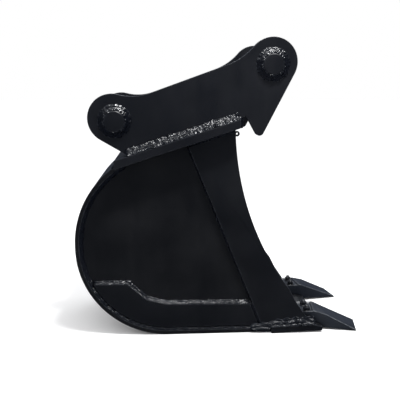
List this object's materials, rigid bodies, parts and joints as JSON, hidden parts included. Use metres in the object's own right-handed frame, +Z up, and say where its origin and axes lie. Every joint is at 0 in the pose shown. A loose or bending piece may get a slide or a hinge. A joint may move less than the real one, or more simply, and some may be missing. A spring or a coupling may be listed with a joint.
{
  "type": "excavator bucket",
  "caption": "Narrow digging bucket for an excavator: curved shell, side cutters, heel wear plates, bevelled lip with bolt-on splayed teeth, and a symmetrical two-pin quick-coupler hitch.",
  "frame": {"origin": "on the ground under the middle of the bucket's bounding box, with the bucket standing on the flat floor of its shell and its tooth tips", "axes": "+X from the heel towards the teeth, +Y towards the bucket's left side when looking along +X, +Z up"},
  "size_m": [0.8855, 0.43, 0.896],
  "materials": {
    "hitch_paint": "satin-gloss blue-black enamel on flame-cut steel",
    "shell_paint": "satin black enamel on rolled and flat steel plate",
    "wear_paint": "satin black enamel on wear-resistant steel plate",
    "weld_paint": "glossy black enamel over rippled weld beads",
    "tooth_paint": "satin black enamel on cast steel",
    "fastener_paint": "black enamel over plated bolts, washers and nuts"
  },
  "bodies": {
    "root": {"ear_plate_right": "hitch_paint", "ear_plate_left": "hitch_paint", "front_pin": "hitch_paint", "rear_pin": "hitch_paint", "top_plate": "hitch_paint", "wrapper_plate": "shell_paint", "side_plate_right": "shell_paint", "side_plate_left": "shell_paint", "side_cutter_right": "wear_paint", "side_cutter_left": "wear_paint", "heel_wear_plate_right": "wear_paint", "heel_wear_plate_left": "wear_paint", "cutting_edge": "wear_paint", "tie_eye_right": "wear_paint", "tie_eye_left": "wear_paint", "front_pin_welds": "weld_paint", "rear_pin_welds": "weld_paint", "ear_foot_welds_right": "weld_paint", "ear_foot_welds_left": "weld_paint", "shell_seam_weld_right": "weld_paint", "shell_seam_weld_left": "weld_paint", "side_cutter_weld_right": "weld_paint", "side_cutter_weld_left": "weld_paint", "wear_plate_weld_right": "weld_paint", "wear_plate_weld_left": "weld_paint", "lip_end_weld_right": "weld_paint", "lip_end_weld_left": "weld_paint", "side_top_weld_right": "weld_paint", "side_top_weld_left": "weld_paint", "top_plate_rear_weld": "weld_paint", "lip_seam_weld": "weld_paint", "tooth_right": "tooth_paint", "tooth_left": "tooth_paint", "tooth_bolts_right": "fastener_paint", "tooth_bolts_left": "fastener_paint", "tooth_washers_right": "fastener_paint", "tooth_washers_left": "fastener_paint", "tooth_nuts_right": "fastener_paint", "tooth_nuts_left": "fastener_paint"}
  },
  "joints": []
}
